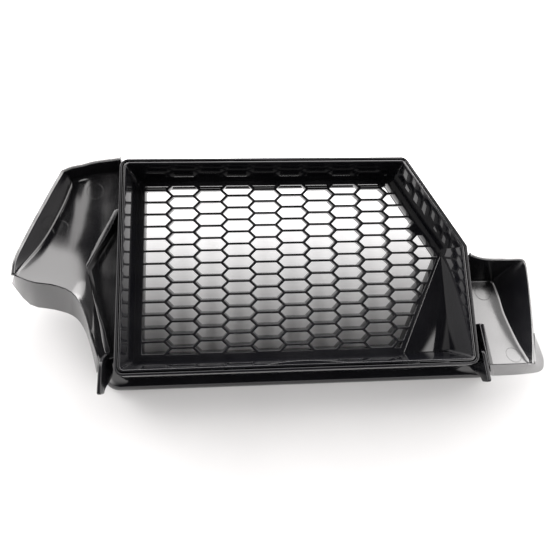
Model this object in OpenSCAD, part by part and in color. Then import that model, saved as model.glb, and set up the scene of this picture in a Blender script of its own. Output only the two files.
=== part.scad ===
// Rear view of a car bumper grille: a frame with two wings holds a honeycomb duct insert.
// The part lies face down: its trim rests on Z = 0 and its open rear rim faces +Z.

/* [Rear rim] */
// Height of the rear rim above the front edge of the trim
rim_height = 45; // [40:1:50]
// Thickness of the frame's walls at the rim
frame_wall = 1.8; // [1.5:0.1:2.2]
// Clear slot between the frame and the duct insert
insert_gap = 0.8; // [0.5:0.1:1]
// Thickness of the insert's walls
insert_wall = 1.4; // [1.2:0.1:2]

/* [Honeycomb] */
// Height of the mesh's rear face
mesh_top = 18; // [16:1:20]
// Thickness of the mesh
mesh_thickness = 9; // [6:0.5:9]
// Distance between neighbouring columns of cells
column_pitch = 21; // [20:0.5:22]
// Distance between neighbouring cells in a column
row_pitch = 9.66; // [9:0.01:10]
// Thickness of the ribs between cells
rib = 1.7; // [1.2:0.1:2.4]
// Lean of the cell walls away from the rim's normal
cell_lean = 14; // [0:1:16]

/* [Front trim] */
// Height of the trim's rear edge, where the frame's walls stand on it
trim_top = 14; // [12:1:15]
// Width of the ledge on the trim outside the frame's walls
trim_ledge = 0.8; // [0.8:0.1:2]
// Lower and upper faces of the bezel ring under the mesh
bezel_low = 6; // [4:0.5:7]

/* [Wings] */
// Thickness of the wing panels
panel = 2.4; // [2:0.1:3]
// Thickness of the wings' rim walls
wing_wall = 2.8; // [2:0.1:3]
// Height of the left wing's V-shaped stiffener at its top
left_rib_top = 37; // [36:0.5:40]
// Thickness of the locating hooks
hook_wall = 2.6; // [2:0.1:3]

/* [Snap fits] */
// Width of one snap tab
tab_width = 8; // [6:0.5:9]
// Height of one snap tab
tab_height = 6; // [4:0.5:8]

/* [Hidden] */

gloss_black = [0.03, 0.03, 0.035];
mesh_black = [0.06, 0.06, 0.065];
satin_grey = [0.24, 0.24, 0.25];
edge_grey = [0.45, 0.45, 0.46];

// The five sides of the duct are numbered top, diagonal, right, bottom, left.
// side_angle is each side's outward direction, and a distance list gives how far each side lies.
side_angle = [90, 30, 0, -90, -180];
arc_steps = 10;
all_sides = [1, 1, 1, 1, 1];
rim_outer = [76.5, 110.5, 123, 76, 125];
rim_inner = rim_outer - frame_wall * all_sides;
insert_outer = rim_inner - insert_gap * all_sides;
insert_inner = insert_outer - insert_wall * all_sides;
frame_foot = [77.5, 111.5, 125, 79.4, 127];
insert_foot_inner = [69.5, 105, 114.5, 66.5, 118.7];
insert_foot = insert_foot_inner + insert_wall * all_sides;
trim_shoulder = frame_foot + trim_ledge * all_sides;
trim_edge = [83, 117, 154, 87.5, 144];
// The skirt's rounded outside, as fractions of the way from shoulder to edge and their heights
trim_profile = [[0.4, 13], [0.72, 10.6], [0.93, 7], [1, 3.4], [0.97, 0]];
bezel_opening = [67.5, 101.5, 112.5, 64.2, 114.5];
mesh_low = mesh_top - mesh_thickness;
// The skirt's inside, in the same terms: the bezel ring meets it between the heights of its faces
trim_inside_profile = [[0.97, 0], [1, 2.4], [0.9, bezel_low], [0.6, mesh_low], [0.3, 11.2],
    [0, trim_top]];
trim_wall = 3.2;

rim_radius = 6;
insert_radius = 4;
trim_radius = 8;
trim_edge_radius = 13;
bezel_radius = 2;

// The cell field and the blank panel
field = [66, 99.8, 111.5, 62.7, 113];
blank_corner = [111.5, 6.1];
blank_low_x = 79.2;
blank_rib = 2.2;
blank_thickness = 3;
column_count = 5;
row_count = 7;
// Part of a rib's thickness by which its slanted ends shorten a cell's flat sides
slant_share = 0.6;
// How far outside the field's slanted sides a cell's centre may lie
diagonal_reach = 4.8;
blank_reach = 8.7;

// Left wing: each list is a smooth curve's points. The panel runs from the frame out to the rim
// wall, and from the top edge down to the crease where the lower flange starts.
left_edge_height = 27;
left_frame_x = -frame_face(4, left_edge_height);
left_top_start = [left_frame_x, 72, 30];
left_top_end = [-164, 67, 29];
left_low_start = [left_frame_x, -62, 29];
left_low_end = [-195, -6, 41];
left_frame_edge = [left_top_start, [left_frame_x, 30, 28], [left_frame_x, -20, 28], left_low_start];
left_top_edge = [left_top_start, [-141, 71.5, 30], [-152, 69.5, 30], [-159, 68, 29], left_top_end];
left_outer_edge = [left_top_end, [-168, 54, 28], [-173, 41, 28], [-179, 28, 28], [-185, 16, 30],
    [-191, 4, 35], left_low_end];
left_crease = [left_low_start, [-138, -65, 30], [-144, -53, 31], [-147, -40, 33], [-151, -28, 35],
    [-158, -18, 37], [-170, -13, 38], [-183, -11, 40], left_low_end];
left_top_rim = [[-124.5, 78.5], [-143, 76], [-152, 73.5], [-159, 72], [-166, 69]];
// The left rim wall's outer top corner, which drops where the wall ends
left_outer_rim = [[-166, 69, rim_height], [-172, 57, rim_height], [-178, 44, rim_height],
    [-184, 31, rim_height], [-190, 17, rim_height], [-195, 4, 44.5], [-196.5, -6, 43]];
left_flange_foot = [[-149, -74, 4], [-154, -55, 4], [-160, -40, 4], [-168, -31, 4],
    [-182, -26, 4], [-199, -22, 6], [-207, -8, 19]];
// The V-shaped stiffener's path as fractions of the panel's length and width, then its three ends
left_stiffener_path = [[0.25, 0.04], [0.4, 0.18], [0.63, 0.4], [0.73, 0.18], [0.8, 0.11],
    [0.95, 0.06]];
left_stiffener_ends = [0.25, 0.63, 0.95];
left_stiffener_run = 2.7;
left_stiffener_steps = 8;

// Right wing: a pocket whose floor climbs from the top wall to the lower edge
right_floor_y = [-13.5, -77];
right_floor_z = [17, 42];
right_floor_slope = 0.45;
right_frame_clearance = 0.02;
right_floor_x = [154, 156, 156, 157, 158, 160];
right_top_rim = [[125, 3], [129, 1], [135, -0.5], [148, -1], [162, -1.5]];
right_side_rim = [[162, -1.5], [164.5, -3], [165.5, -8], [165.5, -22], [165, -40], [164, -60],
    [163, -77]];
right_lower_crest = [[131.5, -77, 42], [146, -77, 42], [156, -77, 42], [163, -77, 42.5],
    [164, -71, 43], [164.5, -64, 43.5], [165, -56, 44]];
right_lower_foot = [[149.5, -86, 9], [158, -86, 10], [170, -85.5, 13], [183.5, -83.5, 16],
    [184.5, -76, 20], [177, -66, 29], [167.5, -56, 39]];
// Left edge of the right stiffener and of the floor beside it, and the stiffener's ends
right_slot_edge = [[126, -48], [129.5, -77]];
right_stiffener_width = 3.4;
right_stiffener_ends = [[127.8, -48], [131.2, -76.7]];
right_stiffener_top = 44;

// Hooks: the blade's outline seen from its side, x along the blade and y up
hook_reach = 26.5;
hook_outline = [[10, 17], [15, 18], [19, 24.5], [22, 31], [24, 34], [26, 35], [hook_reach, 36],
    [hook_reach, 42.5], [25.5, 44], [8.5, 44], [5.5, 43], [3, 39.5], [1, 34.5], [0, 31]];
left_hook_seat = [[0, 29.5], [3.5, 30], [4, 24]];
right_hook_seat = [[0, 29], [4, 24]];
left_hook_root = [-134, -61];
left_hook_turn = -91;
right_hook_root = [126.5, -62];
right_hook_turn = -84.5;

// Snap tabs and the retaining clip on the rear rim
top_tab_x = [-111, -47.3];
bottom_tab_x = [-57, -43, 77, 97.7];
tab_drop = 1;
clip_span = [-26, 31];
clip_depth = 2.4;
clip_height = 3;
clip_steps = 10;

curve_steps = 28;
rim_steps = 6;
width_steps = 21;

// Farthest reach of the left and right flanges and of the right hook, and the whole box's centre
left_reach = min([for (p = left_flange_foot) p[0]]);
right_reach = max([for (i = [0:curve_steps]) along(right_lower_foot, i / curve_steps)[0]]);
low_reach = right_hook_root[1] + hook_reach * sin(right_hook_turn)
    - hook_wall / 2 * cos(right_hook_turn);
centre = [(left_reach + right_reach) / 2, (trim_edge[0] + low_reach) / 2, 0];

module placed() {
    translate(-centre)
        children();
}

function mix(a, b, t) = a + (b - a) * t;
function flat(p) = [p[0], p[1]];

// Point where two sides meet
function meet(i, j, d) =
    let (a = side_angle[i], b = side_angle[j], k = cos(a) * sin(b) - sin(a) * cos(b))
    [(d[i] * sin(b) - d[j] * sin(a)) / k, (d[j] * cos(a) - d[i] * cos(b)) / k];

// Angle at which a corner's arc ends
function next_angle(i) = (i < 4) ? side_angle[i + 1] : -270;

// Distance of the frame's outer face on a side at height z
function frame_face(side, z) =
    mix(frame_foot[side], rim_outer[side], (z - trim_top) / (rim_height - trim_top));

// Closed outline with its sides at distances d and its corners rounded to radius r
function outline(d, r) = [
    for (i = [0:4])
        for (k = [0:arc_steps])
            let (a = mix(side_angle[i], next_angle(i), k / arc_steps))
            meet(i, (i + 1) % 5, d - r * all_sides) + r * [cos(a), sin(a)]
];
function loop_at(d, r, z) = [for (p = outline(d, r)) [p[0], p[1], z]];

// Point at parameter t, 0 to 1, on a smooth curve through the points
function along(points, t) =
    let (n = len(points) - 1, s = min(t * n, n - 0.0001), i = floor(s), u = s - i,
        a = points[max(i - 1, 0)], b = points[i], c = points[i + 1], d = points[min(i + 2, n)])
    0.5 * (2 * b + (c - a) * u + (2 * a - 5 * b + 4 * c - d) * u * u
        + (3 * b - a - 3 * c + d) * u * u * u);

// Solid swept through a list of closed sections that have the same number of points
module swept(sections, ring = false) {
    m = len(sections);
    n = len(sections[0]);
    sides = [
        for (j = [0:(ring ? m - 1 : m - 2)])
            for (i = [0:n - 1])
                let (a = j * n + i, b = j * n + (i + 1) % n, c = ((j + 1) % m) * n + i,
                    d = ((j + 1) % m) * n + (i + 1) % n)
                each [[a, b, d], [a, d, c]]
    ];
    half = floor((n - 1) / 2);
    cap = [
        for (k = [0:half - 1])
            each [[k, k + 1, n - 1 - k], [k + 1, n - 2 - k, n - 1 - k]]
    ];
    clean_cap = [for (f = cap) if (f[0] != f[1] && f[1] != f[2] && f[0] != f[2]) f];
    first = [for (f = clean_cap) [f[2], f[1], f[0]]];
    last = [for (f = clean_cap) [for (v = f) v + (m - 1) * n]];
    polyhedron(
        points = [for (s = sections) each s],
        faces = ring ? sides : concat(sides, first, last)
    );
}

// Ring of wall between an outer and an inner outline, each given low and high
module ring_wall(outer_low, outer_high, inner_high, inner_low, z_low, z_high, r_outer, r_inner) {
    swept([
        loop_at(outer_low, r_outer[0], z_low),
        loop_at(inner_low, r_inner[0], z_low),
        loop_at(inner_high, r_inner[1], z_high),
        loop_at(outer_high, r_outer[1], z_high)
    ], ring = true);
}

// Carrier frame
module outer_frame() {
    color(gloss_black)
        placed()
            ring_wall(frame_foot, rim_outer, rim_inner, frame_foot - frame_wall * all_sides,
                trim_top, rim_height, [trim_radius, rim_radius],
                [trim_radius - frame_wall, rim_radius - frame_wall]);
}

// Outline of the trim's outside at a fraction of the way from its shoulder to its edge
function trim_loop(fraction, z) =
    loop_at(mix(trim_shoulder, trim_edge, fraction),
        mix(trim_radius + trim_ledge, trim_edge_radius, fraction), z);

// Point of the trim's inside profile as a closed outline
function trim_inside(point) =
    outline(mix(trim_shoulder, trim_edge, point[0]) - trim_wall * all_sides,
        mix(trim_radius + trim_ledge, trim_edge_radius, point[0]) - trim_wall);
function trim_inside_loop(point) = [for (p = trim_inside(point)) [p[0], p[1], point[1]]];

// Front trim: a rounded skirt that flares towards the front edge
module front_trim() {
    color(gloss_black)
        placed()
            swept(concat(
                [for (p = trim_inside_profile) trim_inside_loop(p)],
                [trim_loop(0, trim_top)],
                [for (p = trim_profile) trim_loop(p[0], p[1])]
            ), ring = true);
}

// Flat ring that closes the front between the skirt and the mesh
module bezel_ring() {
    color(gloss_black)
        placed()
            swept([
                trim_inside_loop(trim_inside_profile[2]),
                loop_at(bezel_opening, bezel_radius, bezel_low),
                loop_at(bezel_opening, bezel_radius, mesh_low),
                trim_inside_loop(trim_inside_profile[3])
            ], ring = true);
}

// Walls of the duct, open at the rear and closed by the mesh
module duct_insert() {
    color(gloss_black)
        placed()
            ring_wall(insert_foot, insert_outer, insert_inner, insert_foot_inner,
                mesh_top, rim_height, [insert_radius, insert_radius],
                [insert_radius - insert_wall, insert_radius - insert_wall]);
}

// One cell's opening, centred at the origin
module cell() {
    half_height = row_pitch / 2 - rib / 2;
    half_flat = (column_pitch - row_pitch / 2) / 2 - slant_share * rib / 2;
    half_width = half_flat + half_height;
    polygon([
        [-half_width, 0], [-half_flat, half_height], [half_flat, half_height],
        [half_width, 0], [half_flat, -half_height], [-half_flat, -half_height]
    ]);
}

// Outline of the cell field: the duct's outline with its lower right corner cut off
module cell_field() {
    polygon([
        meet(4, 0, field), meet(0, 1, field), blank_corner,
        [blank_low_x - blank_rib, -field[3]], meet(3, 4, field)
    ]);
}

module cells() {
    intersection() {
        cell_field();
        for (c = [-column_count:column_count])
            for (r = [-row_count:row_count])
                let (shift = (c % 2 == 0) ? 0.5 : 0, y = (r + shift) * row_pitch)
                    if (inside_field([c * column_pitch, y]))
                        translate([c * column_pitch, y])
                            cell();
    }
}

// True where a cell's centre lies close enough to the field for more than a sliver to open
function inside_field(p) =
    p[0] * cos(side_angle[1]) + p[1] * sin(side_angle[1]) < field[1] + diagonal_reach
    && beyond(blank_corner, [blank_low_x, -field[3]], p) < blank_reach;

// Distance from the line through a and b to p, positive on the line's outer side
function beyond(a, b, p) =
    ((b[0] - a[0]) * (p[1] - a[1]) - (b[1] - a[1]) * (p[0] - a[0])) / norm(b - a);

// Panel that blanks off the duct's lower right corner
module blank_outline() {
    polygon([
        [blank_corner[0] + blank_rib, blank_corner[1]],
        [blank_low_x, -insert_foot[3] + insert_wall],
        [insert_foot[2] + insert_wall, -insert_foot[3] + insert_wall],
        [insert_foot[2] + insert_wall, blank_corner[1]]
    ]);
}

module honeycomb_mesh() {
    color(mesh_black)
        placed()
            difference() {
                translate([0, 0, mesh_low])
                    linear_extrude(mesh_thickness)
                        difference() {
                            polygon(outline(insert_foot, insert_radius));
                            blank_outline();
                        }
                translate([0, 0, mesh_top])
                    rotate([cell_lean, 0, 0])
                        translate([0, 0, -2 * mesh_thickness])
                            linear_extrude(4 * mesh_thickness)
                                scale([1, cos(cell_lean)])
                                    cells();
            }
}

module corner_blank_panel() {
    color(gloss_black)
        placed()
            translate([0, 0, mesh_top - blank_thickness])
                linear_extrude(blank_thickness)
                    intersection() {
                        polygon(outline(insert_foot, insert_radius));
                        blank_outline();
                    }
}

// Left wing panel: a surface patch stretched between its four edge curves
function left_surface(u, v) =
    let (a = along(left_frame_edge, u), b = along(left_outer_edge, u),
        c = along(left_top_edge, v), d = along(left_crease, v),
        e = mix(left_top_start, left_top_end, v), f = mix(left_low_start, left_low_end, v))
    mix(a, b, v) + mix(c, d, u) - mix(e, f, u);

module left_wing_panel() {
    color(satin_grey)
        placed()
            swept([
                for (i = [0:curve_steps])
                    concat(
                        [for (j = [0:width_steps]) left_surface(i / curve_steps, j / width_steps)],
                        [for (j = [width_steps:-1:0])
                            left_surface(i / curve_steps, j / width_steps) - [0, 0, panel]]
                    )
            ]);
}

// Section of a rim wall with a rounded top: rim is its outer edge, floor_point the panel's edge
function wall_section(rim, floor_point, top) =
    let (way = flat(floor_point) - rim, inward = wing_wall * way / norm(way),
        foot = flat(floor_point) - inward, r = wing_wall / 2)
    concat(
        [for (k = [0:rim_steps])
            let (a = 180 * k / rim_steps, p = rim + inward * (1 - cos(a)) / 2)
            [p[0], p[1], top - r * (1 - sin(a))]],
        [
            floor_point,
            [floor_point[0], floor_point[1], floor_point[2] - panel],
            [foot[0], foot[1], floor_point[2] - panel]
        ]
    );

module left_wing_rim_wall() {
    color(edge_grey)
        placed()
            swept(concat(
                [for (i = [0:width_steps - 1])
                    wall_section(along(left_top_rim, i / width_steps),
                        along(left_top_edge, i / width_steps), rim_height)],
                [for (i = [0:curve_steps])
                    let (rim = along(left_outer_rim, i / curve_steps))
                    wall_section(flat(rim), along(left_outer_edge, i / curve_steps),
                        min(rim[2], rim_height))]
            ));
}

// Section of a flange that hangs from crest down to foot
function flange_section(crest, foot) =
    let (way = flat(crest) - flat(foot), inner = flat(foot) + panel * way / norm(way))
    [crest, [crest[0], crest[1], crest[2] - panel], [inner[0], inner[1], foot[2]], foot];

module left_wing_lower_flange() {
    start = 3;
    color(satin_grey)
        placed()
            swept([
                for (j = [start:width_steps])
                    flange_section(along(left_crease, j / width_steps),
                        along(left_flange_foot, (j - start) / (width_steps - start)))
            ]);
}

// Section of the left stiffener, cut across the panel at length fraction u
function stiffener_section(u) =
    let (v = lookup(u, left_stiffener_path),
        span = norm(flat(along(left_outer_edge, u)) - flat(along(left_frame_edge, u))),
        half = left_stiffener_run / span / 2, a = left_surface(u, v - half),
        b = left_surface(u, v + half))
    [[a[0], a[1], left_rib_top], [b[0], b[1], left_rib_top], b, a];

module left_wing_stiffener() {
    color(edge_grey)
        placed()
            swept([
                for (leg = [0:1])
                    for (k = [leg:left_stiffener_steps])
                        stiffener_section(mix(left_stiffener_ends[leg], left_stiffener_ends[leg + 1],
                            k / left_stiffener_steps))
            ]);
}

// Hook: a blade that stands on the wing and reaches out past the lower edge
module hook_blade(seat, root, turn) {
    translate([root[0], root[1], 0])
        rotate(turn)
            translate([0, hook_wall / 2, 0])
                rotate([90, 0, 0])
                    linear_extrude(hook_wall)
                        polygon(concat(seat, hook_outline));
}

module left_locating_hook() {
    color(gloss_black)
        placed()
            hook_blade(left_hook_seat, left_hook_root, left_hook_turn);
}

// Left edge of the floor: the frame's wall, and lower down the slot beside the stiffener
function right_start(y, z) =
    let (a = right_slot_edge[0], b = right_slot_edge[1])
    max(frame_face(2, z - panel) + right_frame_clearance, mix(a[0], b[0], (y - a[1]) / (b[1] - a[1])));

// Right wing floor, from its left edge at v = 0 to the side wall at v = 1
function right_surface(u, v) =
    let (z = mix(right_floor_z[0], right_floor_z[1],
            right_floor_slope * u + (1 - right_floor_slope) * u * u),
        y = mix(right_floor_y[0], right_floor_y[1], u))
    [mix(right_start(y, z), along(right_floor_x, u), v), y, z];

// Solid between the right wing's floor and a face below it: the panel's underside, or height low
module right_slab(low) {
    swept([
        for (i = [0:curve_steps])
            concat(
                [for (j = [0:width_steps]) right_surface(i / curve_steps, j / width_steps)],
                [for (j = [width_steps:-1:0])
                    let (p = right_surface(i / curve_steps, j / width_steps))
                    [p[0], p[1], (low == undef) ? p[2] - panel : low]]
            )
    ]);
}

module right_wing_panel() {
    color(satin_grey)
        placed()
            right_slab();
}

module right_wing_top_wall() {
    color(edge_grey)
        placed()
            swept([
                for (i = [0:width_steps])
                    let (t = i / width_steps, rim = along(right_top_rim, t),
                        floor_point = right_surface(0, t))
                    wall_section(rim, floor_point, rim_height)
            ]);
}

module right_wing_side_wall() {
    color(edge_grey)
        placed()
            swept([
                for (i = [0:curve_steps])
                    let (t = i / curve_steps)
                    wall_section(along(right_side_rim, t), right_surface(t, 1), rim_height)
            ]);
}

module right_wing_lower_wall() {
    color(satin_grey)
        placed()
            swept([
                for (i = [0:curve_steps])
                    flange_section(along(right_lower_crest, i / curve_steps),
                        along(right_lower_foot, i / curve_steps))
            ]);
}

module right_wing_stiffener() {
    foot = 20;
    way = right_stiffener_ends[1] - right_stiffener_ends[0];
    color(edge_grey)
        placed()
            difference() {
                translate([right_stiffener_ends[0][0], right_stiffener_ends[0][1], foot])
                    rotate(atan2(way[1], way[0]))
                        translate([0, -right_stiffener_width / 2, 0])
                            cube([norm(way), right_stiffener_width, right_stiffener_top - foot]);
                right_slab(0);
            }
}

module right_locating_hook() {
    color(gloss_black)
        placed()
            hook_blade(right_hook_seat, right_hook_root, right_hook_turn);
}

// Snap tabs: small blocks that bridge the slot between frame and insert
module snap_tab(x, y) {
    translate([x - tab_width / 2, y, rim_height - tab_drop - tab_height])
        cube([tab_width, insert_gap, tab_height]);
}

module top_snap_tabs() {
    color(gloss_black)
        placed()
            for (x = top_tab_x)
                snap_tab(x, insert_outer[0]);
}

module bottom_snap_tabs() {
    color(gloss_black)
        placed()
            for (x = bottom_tab_x)
                snap_tab(x, -rim_inner[3]);
}

// Springy clip along the bottom rim, bowed towards the duct
module retaining_clip() {
    middle = mix(clip_span[0], clip_span[1], 0.5);
    half = (clip_span[1] - clip_span[0]) / 2;
    radius = (half * half + clip_depth * clip_depth) / (2 * clip_depth);
    sweep = asin(half / radius);
    color(gloss_black)
        placed()
            translate([middle, -insert_inner[3] + clip_depth - radius, rim_height - clip_height])
                linear_extrude(clip_height)
                    polygon([
                        for (k = [-clip_steps:clip_steps])
                            let (a = sweep * k / clip_steps)
                            radius * [sin(a), cos(a)]
                    ]);
}

outer_frame();
duct_insert();
honeycomb_mesh();
corner_blank_panel();
front_trim();
bezel_ring();
left_wing_panel();
left_wing_rim_wall();
left_wing_lower_flange();
left_wing_stiffener();
left_locating_hook();
right_wing_panel();
right_wing_top_wall();
right_wing_side_wall();
right_wing_lower_wall();
right_wing_stiffener();
right_locating_hook();
top_snap_tabs();
bottom_snap_tabs();
retaining_clip();
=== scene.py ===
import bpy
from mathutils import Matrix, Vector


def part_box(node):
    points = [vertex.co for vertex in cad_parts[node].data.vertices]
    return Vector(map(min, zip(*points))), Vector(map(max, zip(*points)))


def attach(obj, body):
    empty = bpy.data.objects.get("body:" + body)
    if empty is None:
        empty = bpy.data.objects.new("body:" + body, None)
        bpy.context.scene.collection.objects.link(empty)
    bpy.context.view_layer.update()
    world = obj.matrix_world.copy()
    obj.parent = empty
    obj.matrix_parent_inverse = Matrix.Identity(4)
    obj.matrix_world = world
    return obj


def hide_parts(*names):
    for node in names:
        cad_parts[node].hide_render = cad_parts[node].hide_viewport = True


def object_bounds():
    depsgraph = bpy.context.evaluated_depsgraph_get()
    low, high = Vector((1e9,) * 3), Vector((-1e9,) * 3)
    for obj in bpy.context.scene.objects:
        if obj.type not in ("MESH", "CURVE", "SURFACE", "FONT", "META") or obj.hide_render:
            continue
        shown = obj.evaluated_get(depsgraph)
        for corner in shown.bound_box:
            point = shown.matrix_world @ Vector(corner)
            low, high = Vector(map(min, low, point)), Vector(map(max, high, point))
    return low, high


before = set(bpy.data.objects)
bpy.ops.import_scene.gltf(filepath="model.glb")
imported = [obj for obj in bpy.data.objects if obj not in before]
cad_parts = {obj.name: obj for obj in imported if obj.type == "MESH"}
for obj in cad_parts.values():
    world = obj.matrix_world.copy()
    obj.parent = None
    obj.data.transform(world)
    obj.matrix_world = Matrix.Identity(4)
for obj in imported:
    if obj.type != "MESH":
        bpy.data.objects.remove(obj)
cad_box = [list(corner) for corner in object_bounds()]

import math

import bmesh
import bpy
from mathutils import Vector
from mathutils.bvhtree import BVHTree
from mathutils.kdtree import KDTree

MM = 0.001
WELD = 0.002 * MM
SAME_PLACE = 0.01 * MM

# Camera, in the CAD frame: above the rear side, leaning back towards the top side
CAMERA_PLACE = (-24.1 * MM, -65.2 * MM, 357.5 * MM)
CAMERA_TILT = (10.48, -3.05, -1.84)
CAMERA_LENS = 29.94
SENSOR_WIDTH = 36

# Plastic: scales of the tint clouds, the uneven gloss and the moulding waves; depths of the bumps
TINT_SCALE = 38
GLOSS_SCALE = 60
WAVE_SCALE = 30
GRAIN_DEPTH = 0.02 * MM
WAVE_DEPTH = 0.3 * MM
# How far below the part's top the wing rims get a painted highlight (a paler base colour), and over
# what height that sets in
RIM_HIGHLIGHT_DEPTH = 1.0 * MM
RIM_HIGHLIGHT_RISE = 0.5 * MM

# Floor: half its size, the gap under the part, and its glow from the front of the scene to the back
FLOOR_HALF = 3.0
FLOOR_GAP = 0.2 * MM
GLOW_START, GLOW_END = -0.06, 0.1
GLOW_LOW, GLOW_HIGH = 0.02, 1.5

# Room: each pair is where a light starts and where it is full, along one axis of the direction
ROOM_MIDDLE = 0.045
SIDE_START, SIDE_FULL = 0.385, 0.445
SIDE_FRONT, SIDE_BACK = -0.8, -0.3
WINDOW_START, WINDOW_FULL = 0.36, 0.56
HORIZON_TOP, HORIZON_END = 0.2, 0.45
SIDE_LIGHT = 2.3
WINDOW_LIGHT = 3.8
HORIZON_GAIN = 2.4
DARK_LIGHT = 0.03


# ---------------------------------------------------------------- materials

def node_of(tree, kind, place, **values):
    """New shader node with its sockets set"""
    node = tree.nodes.new(kind)
    node.location = place
    for key, value in values.items():
        node.inputs[key.replace("_", " ")].default_value = value
    return node


def noise_of(tree, scale, detail, stretch=(1, 1, 1), distortion=0.0):
    """Noise in the part's own coordinates, stretched along its axes"""
    place = tree.nodes.new("ShaderNodeTexCoord")
    mapping = tree.nodes.new("ShaderNodeMapping")
    mapping.inputs["Scale"].default_value = stretch
    tree.links.new(place.outputs["Object"], mapping.inputs["Vector"])
    noise = node_of(tree, "ShaderNodeTexNoise", (-600, 0), Scale=scale, Detail=detail,
                    Distortion=distortion)
    tree.links.new(mapping.outputs["Vector"], noise.inputs["Vector"])
    return noise.outputs["Fac"]


def ramp_of(tree, source, low, high, start=0.35, end=0.65):
    """Colour ramp from low to high"""
    ramp = tree.nodes.new("ShaderNodeValToRGB")
    ramp.color_ramp.elements[0].position = start
    ramp.color_ramp.elements[0].color = low
    ramp.color_ramp.elements[1].position = end
    ramp.color_ramp.elements[1].color = high
    tree.links.new(source, ramp.inputs["Fac"])
    return ramp.outputs["Color"]


def grey(value):
    return (value, value, value, 1.0)


def paint_rim_highlight(tree, colour, height):
    """The colour, turned to a pale grey where the part stands above a height: a painted highlight on
    the wing rim tops
    """
    place = tree.nodes.new("ShaderNodeTexCoord")
    split = tree.nodes.new("ShaderNodeSeparateXYZ")
    tree.links.new(place.outputs["Object"], split.inputs["Vector"])
    rise = node_of(tree, "ShaderNodeMapRange", (-400, 200), From_Min=height,
                   From_Max=height + RIM_HIGHLIGHT_RISE)
    tree.links.new(split.outputs["Z"], rise.inputs["Value"])
    # Pale grey with a little random tone: the painted highlight on the rim tops
    pale_highlight = ramp_of(tree, noise_of(tree, 90, 5), grey(0.14), grey(0.24))
    mix = tree.nodes.new("ShaderNodeMix")
    mix.data_type = "RGBA"
    # For colours the node's factor is input 0, its two colours 6 and 7, and its result output 2
    tree.links.new(rise.outputs["Result"], mix.inputs[0])
    tree.links.new(colour, mix.inputs[6])
    tree.links.new(pale_highlight, mix.inputs[7])
    return mix.outputs[2]


def plastic(name, tint, spread, roughness, rough_spread, grain, grain_scale, wave=0.0,
            specular=0.5, ior=1.5, rim_highlight_above=None):
    """Moulded plastic: cloudy tint, uneven gloss, a fine grain and long shallow moulding waves"""
    material = bpy.data.materials.new(name)
    material.use_nodes = True
    tree = material.node_tree
    shader = tree.nodes["Principled BSDF"]
    shader.inputs["Specular IOR Level"].default_value = specular
    shader.inputs["IOR"].default_value = ior
    low = tuple(max(c - spread, 0.0) for c in tint) + (1.0,)
    high = tuple(c + spread for c in tint) + (1.0,)
    colour = ramp_of(tree, noise_of(tree, TINT_SCALE, 4), low, high)
    # Optionally a painted highlight: a paler base colour above a given height
    if rim_highlight_above is not None:
        colour = paint_rim_highlight(tree, colour, rim_highlight_above)
    tree.links.new(colour, shader.inputs["Base Color"])
    gloss = ramp_of(tree, noise_of(tree, GLOSS_SCALE, 6, distortion=0.4),
                    grey(max(roughness - rough_spread, 0.0)), grey(roughness + rough_spread))
    tree.links.new(gloss, shader.inputs["Roughness"])
    fine = tree.nodes.new("ShaderNodeBump")
    fine.inputs["Strength"].default_value = grain
    fine.inputs["Distance"].default_value = GRAIN_DEPTH
    tree.links.new(noise_of(tree, grain_scale, 3), fine.inputs["Height"])
    long_waves = tree.nodes.new("ShaderNodeBump")
    long_waves.inputs["Strength"].default_value = wave
    long_waves.inputs["Distance"].default_value = WAVE_DEPTH
    tree.links.new(noise_of(tree, WAVE_SCALE, 1), long_waves.inputs["Height"])
    tree.links.new(long_waves.outputs["Normal"], fine.inputs["Normal"])
    tree.links.new(fine.outputs["Normal"], shader.inputs["Normal"])
    return material


def make_materials():
    return {
        "carrier_gloss": plastic("carrier_gloss", (0.005, 0.005, 0.006), 0.002, 0.12, 0.03,
                                 0.12, 1800, wave=0.05),
        "duct_gloss": plastic("duct_gloss", (0.004, 0.004, 0.005), 0.001, 0.07, 0.02,
                              0.06, 1500, wave=0.04, specular=0.8, ior=1.6),
        "mesh_black": plastic("mesh_black", (0.006, 0.006, 0.007), 0.002, 0.14, 0.03,
                              0.15, 2500),
        "trim_gloss": plastic("trim_gloss", (0.004, 0.004, 0.005), 0.001, 0.06, 0.02,
                              0.05, 1500, wave=0.04),
        # The wing rim tops, above this height, get a painted highlight
        "wing_satin": plastic("wing_satin", (0.005, 0.005, 0.006), 0.002, 0.15, 0.03,
                              0.25, 2200, wave=0.08, specular=0.75, ior=1.7,
                              rim_highlight_above=cad_box[1][2] - RIM_HIGHLIGHT_DEPTH),
    }


MATERIALS = make_materials()


# ------------------------------------------------------------------- pieces

def corner_test(node):
    """Test of whether a vertex lies on one of a CAD node's corners"""
    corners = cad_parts[node].data.vertices
    tree = KDTree(len(corners))
    for corner in corners:
        tree.insert(corner.co, corner.index)
    tree.balance()
    return lambda vert: tree.find(vert.co)[2] < SAME_PLACE


def tidy_mesh(nodes, flat_angle):
    """The welded mesh of touching CAD nodes, without the faces where they touch"""
    tests = [corner_test(node) for node in nodes]
    mesh = bmesh.new()
    for node in nodes:
        mesh.from_mesh(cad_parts[node].data)
    shared = {v for v in mesh.verts if sum(test(v) for test in tests) > 1}
    inner = [f for f in mesh.faces if all(v in shared for v in f.verts)]
    bmesh.ops.delete(mesh, geom=inner, context="FACES")
    bmesh.ops.remove_doubles(mesh, verts=mesh.verts, dist=SAME_PLACE if len(nodes) > 1 else WELD)
    bmesh.ops.dissolve_limit(mesh, angle_limit=math.radians(flat_angle), verts=mesh.verts,
                             edges=mesh.edges)
    bmesh.ops.recalc_face_normals(mesh, faces=mesh.faces)
    return mesh


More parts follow.
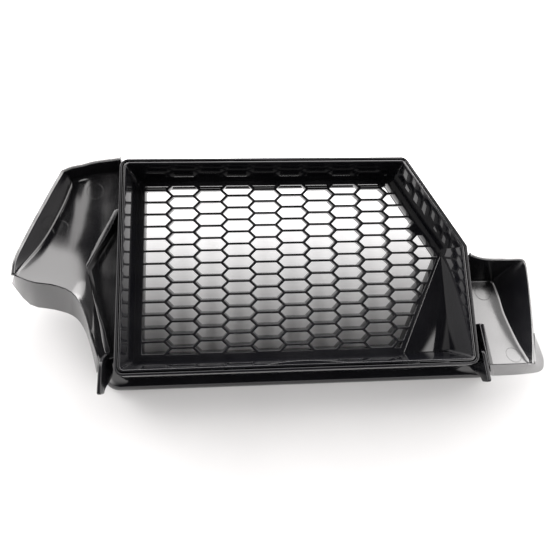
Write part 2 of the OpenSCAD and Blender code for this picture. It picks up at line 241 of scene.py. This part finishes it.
def add_piece(name, mesh, slot, replaced=()):
    """Turns a bmesh into an object that rides on the part"""
    data = bpy.data.meshes.new(name)
    mesh.to_mesh(data)
    mesh.free()
    data.materials.append(MATERIALS[slot])
    piece = bpy.data.objects.new(name, data)
    bpy.context.scene.collection.objects.link(piece)
    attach(piece, "root")
    if replaced:
        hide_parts(*replaced)
    return piece


def soften(piece, width, segments, angle):
    """Rounds the piece's hard edges"""
    for polygon in piece.data.polygons:
        polygon.use_smooth = True
    bevel = piece.modifiers.new("edges", "BEVEL")
    bevel.width = width
    bevel.segments = segments
    bevel.limit_method = "ANGLE"
    bevel.angle_limit = math.radians(angle)
    bevel.harden_normals = True
    bevel.miter_outer = "MITER_ARC"


def moulded(name, nodes, slot, width, segments=3, angle=32, flat_angle=0.2):
    """Piece with rounded edges that stands for one or more CAD nodes"""
    piece = add_piece(name, tidy_mesh(nodes, flat_angle), slot, nodes)
    soften(piece, width, segments, angle)
    return piece


# Edges that turn more than this many degrees are rounded: outward creases, inward corners
HARD_ANGLE = 48
HOLLOW_ANGLE = 25
# Holes with at most this many sides, left where roundings meet, are closed
SMALL_HOLE = 8


def turn_of(edge):
    """How sharply the surface turns at an edge, in degrees"""
    return math.degrees(edge.calc_face_angle(0.0))


def kept_inside(mesh, nodes):
    """Brings rounded corners that swelled back inside the box of their CAD nodes"""
    boxes = [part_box(node) for node in nodes]
    low = [min(box[0][i] for box in boxes) for i in range(3)]
    high = [max(box[1][i] for box in boxes) for i in range(3)]
    for vert in mesh.verts:
        vert.co = [min(max(c, a), b) for c, a, b in zip(vert.co, low, high)]


def wing_shell(name, nodes, fillet_width, crease_width):
    """Wing moulding: rounded creases, and a fillet where its floor meets its walls"""
    on_floor = corner_test(nodes[0])
    mesh = tidy_mesh(nodes, 0.02)

    def round_off(convex, sharpness, width, segments):
        edges = [e for e in mesh.edges
                 if len(e.link_faces) == 2 and e.is_convex == convex and turn_of(e) > sharpness
                 and all(on_floor(v) for v in e.verts)]
        bmesh.ops.bevel(mesh, geom=edges, offset=width, offset_type="OFFSET", segments=segments,
                        profile=0.5, affect="EDGES", clamp_overlap=False)

    round_off(True, HARD_ANGLE, crease_width, 4)
    round_off(False, HOLLOW_ANGLE, fillet_width, 5)
    bmesh.ops.holes_fill(mesh, edges=[e for e in mesh.edges if e.is_boundary], sides=SMALL_HOLE)
    kept_inside(mesh, nodes)
    piece = add_piece(name, mesh, "wing_satin", nodes)
    for polygon in piece.data.polygons:
        polygon.use_smooth = True
    piece.data.set_sharp_from_angle(angle=math.radians(HARD_ANGLE))
    piece.modifiers.new("shading", "WEIGHTED_NORMAL").keep_sharp = True
    return piece


moulded("frame_wall", ["outer_frame"], "carrier_gloss", 0.5 * MM, 4)
moulded("duct_walls", ["duct_insert"], "duct_gloss", 0.45 * MM, 4)
moulded("blank_panel", ["corner_blank_panel"], "duct_gloss", 0.4 * MM)
moulded("trim_skirt", ["front_trim"], "trim_gloss", 0.6 * MM)
moulded("bezel_plate", ["bezel_ring"], "trim_gloss", 0.5 * MM)
wing_shell("left_wing_shell", ["left_wing_panel", "left_wing_rim_wall", "left_wing_lower_flange"],
           2.0 * MM, 0.8 * MM)
moulded("left_wing_rib", ["left_wing_stiffener"], "wing_satin", 0.7 * MM, 4)
moulded("left_hook_blade", ["left_locating_hook"], "carrier_gloss", 0.6 * MM)
wing_shell("right_wing_shell", ["right_wing_panel", "right_wing_top_wall",
                                "right_wing_side_wall", "right_wing_lower_wall"],
           1.2 * MM, 0.8 * MM)
moulded("right_wing_rib", ["right_wing_stiffener"], "wing_satin", 0.8 * MM, 4)
moulded("right_hook_blade", ["right_locating_hook"], "carrier_gloss", 0.6 * MM)
moulded("top_tabs", ["top_snap_tabs"], "duct_gloss", 0.2 * MM)
moulded("bottom_tabs", ["bottom_snap_tabs"], "duct_gloss", 0.2 * MM)
moulded("rim_clip", ["retaining_clip"], "duct_gloss", 0.4 * MM)


# -------------------------------------------------------------------- marks

# Ejector-pin marks: the panel each is on, its place as fractions of the panel's box, its radius
PIN_MARKS = {
    "pin_marks_left": ("left_wing_panel", [(0.35, 0.7, 5.5), (0.7, 0.9, 6), (0.75, 0.55, 5),
                                           (0.1, 0.4, 4)]),
    "pin_marks_right": ("right_wing_panel", [(0.55, 0.85, 6), (0.75, 0.1, 5)]),
}
MARK_STEPS = 40
MARK_SIDES = 6


def surface_of(node):
    """Lookup for the point on a CAD node's rear surface straight below a place"""
    mesh = bmesh.new()
    mesh.from_mesh(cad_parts[node].data)
    tree = BVHTree.FromBMesh(mesh)
    mesh.free()
    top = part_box(node)[1].z + 5 * MM
    return lambda x, y: tree.ray_cast(Vector((x, y, top)), Vector((0, 0, -1)))[0]


def raised_line(mesh, path, width, closed):
    """Round bead of a given width along a path of points"""
    rings = []
    count = len(path)
    for i, place in enumerate(path):
        before = path[i - 1] if closed or i > 0 else place
        after = path[(i + 1) % count] if closed or i < count - 1 else place
        way = (after - before).normalized()
        across = way.cross(Vector((0, 0, 1))).normalized()
        up = across.cross(way)
        ring = []
        for k in range(MARK_SIDES):
            turn = 2 * math.pi * k / MARK_SIDES
            ring.append(mesh.verts.new(place + width / 2 * (across * math.cos(turn)
                                                            + up * math.sin(turn))))
        rings.append(ring)
    for i in range(count if closed else count - 1):
        first, second = rings[i], rings[(i + 1) % count]
        for k in range(MARK_SIDES):
            other = (k + 1) % MARK_SIDES
            mesh.faces.new((first[k], first[other], second[other], second[k]))
    if not closed:
        mesh.faces.new(rings[0][::-1])
        mesh.faces.new(rings[-1])


def add_pin_marks():
    for name, (node, marks) in PIN_MARKS.items():
        low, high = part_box(node)
        surface = surface_of(node)
        mesh = bmesh.new()
        for across, along, radius in marks:
            x = low.x + (high.x - low.x) * across
            y = low.y + (high.y - low.y) * along
            path = []
            for k in range(MARK_STEPS):
                turn = 2 * math.pi * k / MARK_STEPS
                path.append(surface(x + radius * MM * math.cos(turn),
                                    y + radius * MM * math.sin(turn)))
            if all(path):
                raised_line(mesh, path, 0.35 * MM, True)
        bmesh.ops.recalc_face_normals(mesh, faces=mesh.faces)
        marks_piece = add_piece(name, mesh, "wing_satin")
        for polygon in marks_piece.data.polygons:
            polygon.use_smooth = True


add_pin_marks()


# ---------------------------------------------------------------- honeycomb

CELL_LEAN = math.tan(math.radians(14))
GRID_ROUNDING = 0.35 * MM
ROUNDING_STEPS = 3


def top_loops(node):
    """The closed outlines round the flat top of a CAD node"""
    mesh = bmesh.new()
    mesh.from_mesh(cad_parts[node].data)
    bmesh.ops.remove_doubles(mesh, verts=mesh.verts, dist=WELD)
    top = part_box(node)[1].z
    mesh.normal_update()
    flat = {f for f in mesh.faces if f.normal.z > 0.99 and abs(f.calc_center_median().z - top) < WELD}
    follow = {}
    for face in flat:
        for loop in face.loops:
            if not all(other in flat for other in loop.edge.link_faces):
                follow[loop.vert.index] = (loop.link_loop_next.vert.index, loop.vert.co.to_2d())
    mesh.free()
    outlines = []
    while follow:
        start = index = min(follow)
        outline = []
        while index in follow:
            index, place = follow.pop(index)
            outline.append(place)
        outlines.append(outline)
    return outlines


def signed_area(outline):
    return sum(a.cross(b) for a, b in zip(outline, outline[1:] + outline[:1])) / 2


def moved_out(outline, distance):
    """The outline with every side moved to its right by distance"""
    corners = []
    for i, corner in enumerate(outline):
        before = (corner - outline[i - 1]).normalized()
        after = (outline[(i + 1) % len(outline)] - corner).normalized()
        a = Vector((before.y, -before.x))
        b = Vector((after.y, -after.x))
        corners.append(corner + (a + b) * distance / max(1 + a.dot(b), 0.3))
    return corners


def rounded_levels(depth, rounding):
    """(distance from the top, how far the edge has drawn back) down a wall rounded at both ends"""
    turns = [math.radians(90 * k / ROUNDING_STEPS) for k in range(ROUNDING_STEPS + 1)]
    upper = [(rounding * (1 - math.cos(t)), rounding * (1 - math.sin(t))) for t in turns]
    return upper + [(depth - down, back) for down, back in reversed(upper)]


def make_grid():
    """Honeycomb whose cell walls lean and whose rib edges are rounded, front and back"""
    low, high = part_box("honeycomb_mesh")
    depth = high.z - low.z
    mesh = bmesh.new()
    ends = ([], [])
    for outline in top_loops("honeycomb_mesh"):
        hole = signed_area(outline) < 0
        lean = CELL_LEAN if hole else 0.0
        rings = []
        for down, back in rounded_levels(depth, GRID_ROUNDING):
            ring = [mesh.verts.new((p.x, p.y + down * lean, high.z - down))
                    for p in moved_out(outline, -back)]
            rings.append(ring)
        for upper, lower in zip(rings, rings[1:]):
            for i in range(len(upper)):
                j = (i + 1) % len(upper)
                mesh.faces.new((upper[j], upper[i], lower[i], lower[j]))
        for end, ring in zip(ends, (rings[0], rings[-1])):
            end.extend(mesh.edges.get((ring[i - 1], ring[i])) for i in range(len(ring)))
    for end in ends:
        bmesh.ops.triangle_fill(mesh, edges=end, use_beauty=True)
    bmesh.ops.recalc_face_normals(mesh, faces=mesh.faces)
    grid = add_piece("mesh_grid", mesh, "mesh_black", ["honeycomb_mesh"])
    for polygon in grid.data.polygons:
        polygon.use_smooth = True
    grid.data.set_sharp_from_angle(angle=math.radians(35))


make_grid()


# -------------------------------------------------------------------- stage

def add_floor():
    """Pale floor under the part, which glows more towards the top side"""
    mesh = bmesh.new()
    bmesh.ops.create_grid(mesh, x_segments=2, y_segments=2, size=FLOOR_HALF)
    data = bpy.data.meshes.new("floor")
    mesh.to_mesh(data)
    mesh.free()
    floor = bpy.data.objects.new("floor", data)
    floor.location.z = cad_box[0][2] - FLOOR_GAP
    bpy.context.scene.collection.objects.link(floor)
    material = bpy.data.materials.new("floor_cloth")
    material.use_nodes = True
    tree = material.node_tree
    shader = tree.nodes["Principled BSDF"]
    shader.inputs["Roughness"].default_value = 0.9
    shader.inputs["Specular IOR Level"].default_value = 0.1
    colour = ramp_of(tree, noise_of(tree, 6, 3), (0.58, 0.58, 0.58, 1), (0.62, 0.62, 0.62, 1))
    tree.links.new(colour, shader.inputs["Base Color"])
    place = tree.nodes.new("ShaderNodeTexCoord")
    split = tree.nodes.new("ShaderNodeSeparateXYZ")
    tree.links.new(place.outputs["Object"], split.inputs["Vector"])
    glow = tree.nodes.new("ShaderNodeMapRange")
    glow.interpolation_type = "SMOOTHSTEP"
    glow.inputs["From Min"].default_value = GLOW_START
    glow.inputs["From Max"].default_value = GLOW_END
    glow.inputs["To Min"].default_value = GLOW_LOW
    glow.inputs["To Max"].default_value = GLOW_HIGH
    tree.links.new(split.outputs["Y"], glow.inputs["Value"])
    shader.inputs["Emission Color"].default_value = (1.0, 0.985, 0.985, 1.0)
    tree.links.new(glow.outputs["Result"], shader.inputs["Emission Strength"])
    data.materials.append(material)


def ramp(tree, source, start, end, low=0.0, high=1.0):
    """Smooth step of a value from low at start to high at end"""
    node = node_of(tree, "ShaderNodeMapRange", (0, 0), From_Min=start, From_Max=end,
                   To_Min=low, To_Max=high)
    node.interpolation_type = "SMOOTHSTEP"
    tree.links.new(source, node.inputs["Value"])
    return node.outputs["Result"]


def combine(tree, operation, a, b):
    """Result of a math operation on two sockets or numbers"""
    node = tree.nodes.new("ShaderNodeMath")
    node.operation = operation
    for socket, value in zip(node.inputs, (a, b)):
        if isinstance(value, (int, float)):
            socket.default_value = value
        else:
            tree.links.new(value, socket)
    return node.outputs["Value"]


def add_room():
    """Room light: a broad window beyond the top side, pale sides, dark overhead and at the front"""
    world = bpy.data.worlds.new("studio")
    bpy.context.scene.world = world
    world.use_nodes = True
    tree = world.node_tree
    place = tree.nodes.new("ShaderNodeTexCoord")
    split = tree.nodes.new("ShaderNodeSeparateXYZ")
    tree.links.new(place.outputs["Generated"], split.inputs["Vector"])
    x, y, z = split.outputs["X"], split.outputs["Y"], split.outputs["Z"]
    across = combine(tree, "ABSOLUTE", combine(tree, "SUBTRACT", x, ROOM_MIDDLE), 0.0)
    sides = combine(tree, "MULTIPLY", ramp(tree, across, SIDE_START, SIDE_FULL),
                    ramp(tree, y, SIDE_FRONT, SIDE_BACK))
    window = ramp(tree, y, WINDOW_START, WINDOW_FULL)
    horizon = ramp(tree, z, HORIZON_TOP, HORIZON_END, HORIZON_GAIN, 1.0)
    level = combine(tree, "ADD", combine(tree, "MULTIPLY", sides, SIDE_LIGHT),
                    combine(tree, "MULTIPLY", window, WINDOW_LIGHT))
    background = tree.nodes["Background"]
    background.inputs["Color"].default_value = (1.0, 0.98, 0.975, 1.0)
    level = combine(tree, "MULTIPLY", level, horizon)
    tree.links.new(combine(tree, "ADD", level, DARK_LIGHT), background.inputs["Strength"])


def add_stage():
    add_floor()
    add_room()
    bpy.context.scene.view_settings.view_transform = "Standard"


def add_camera():
    data = bpy.data.cameras.new("camera")
    data.lens = CAMERA_LENS
    data.sensor_width = SENSOR_WIDTH
    data.clip_start = 0.01
    camera = bpy.data.objects.new("camera", data)
    camera.location = CAMERA_PLACE
    camera.rotation_euler = [math.radians(a) for a in CAMERA_TILT]
    bpy.context.scene.collection.objects.link(camera)
    bpy.context.scene.camera = camera


add_stage()
add_camera()
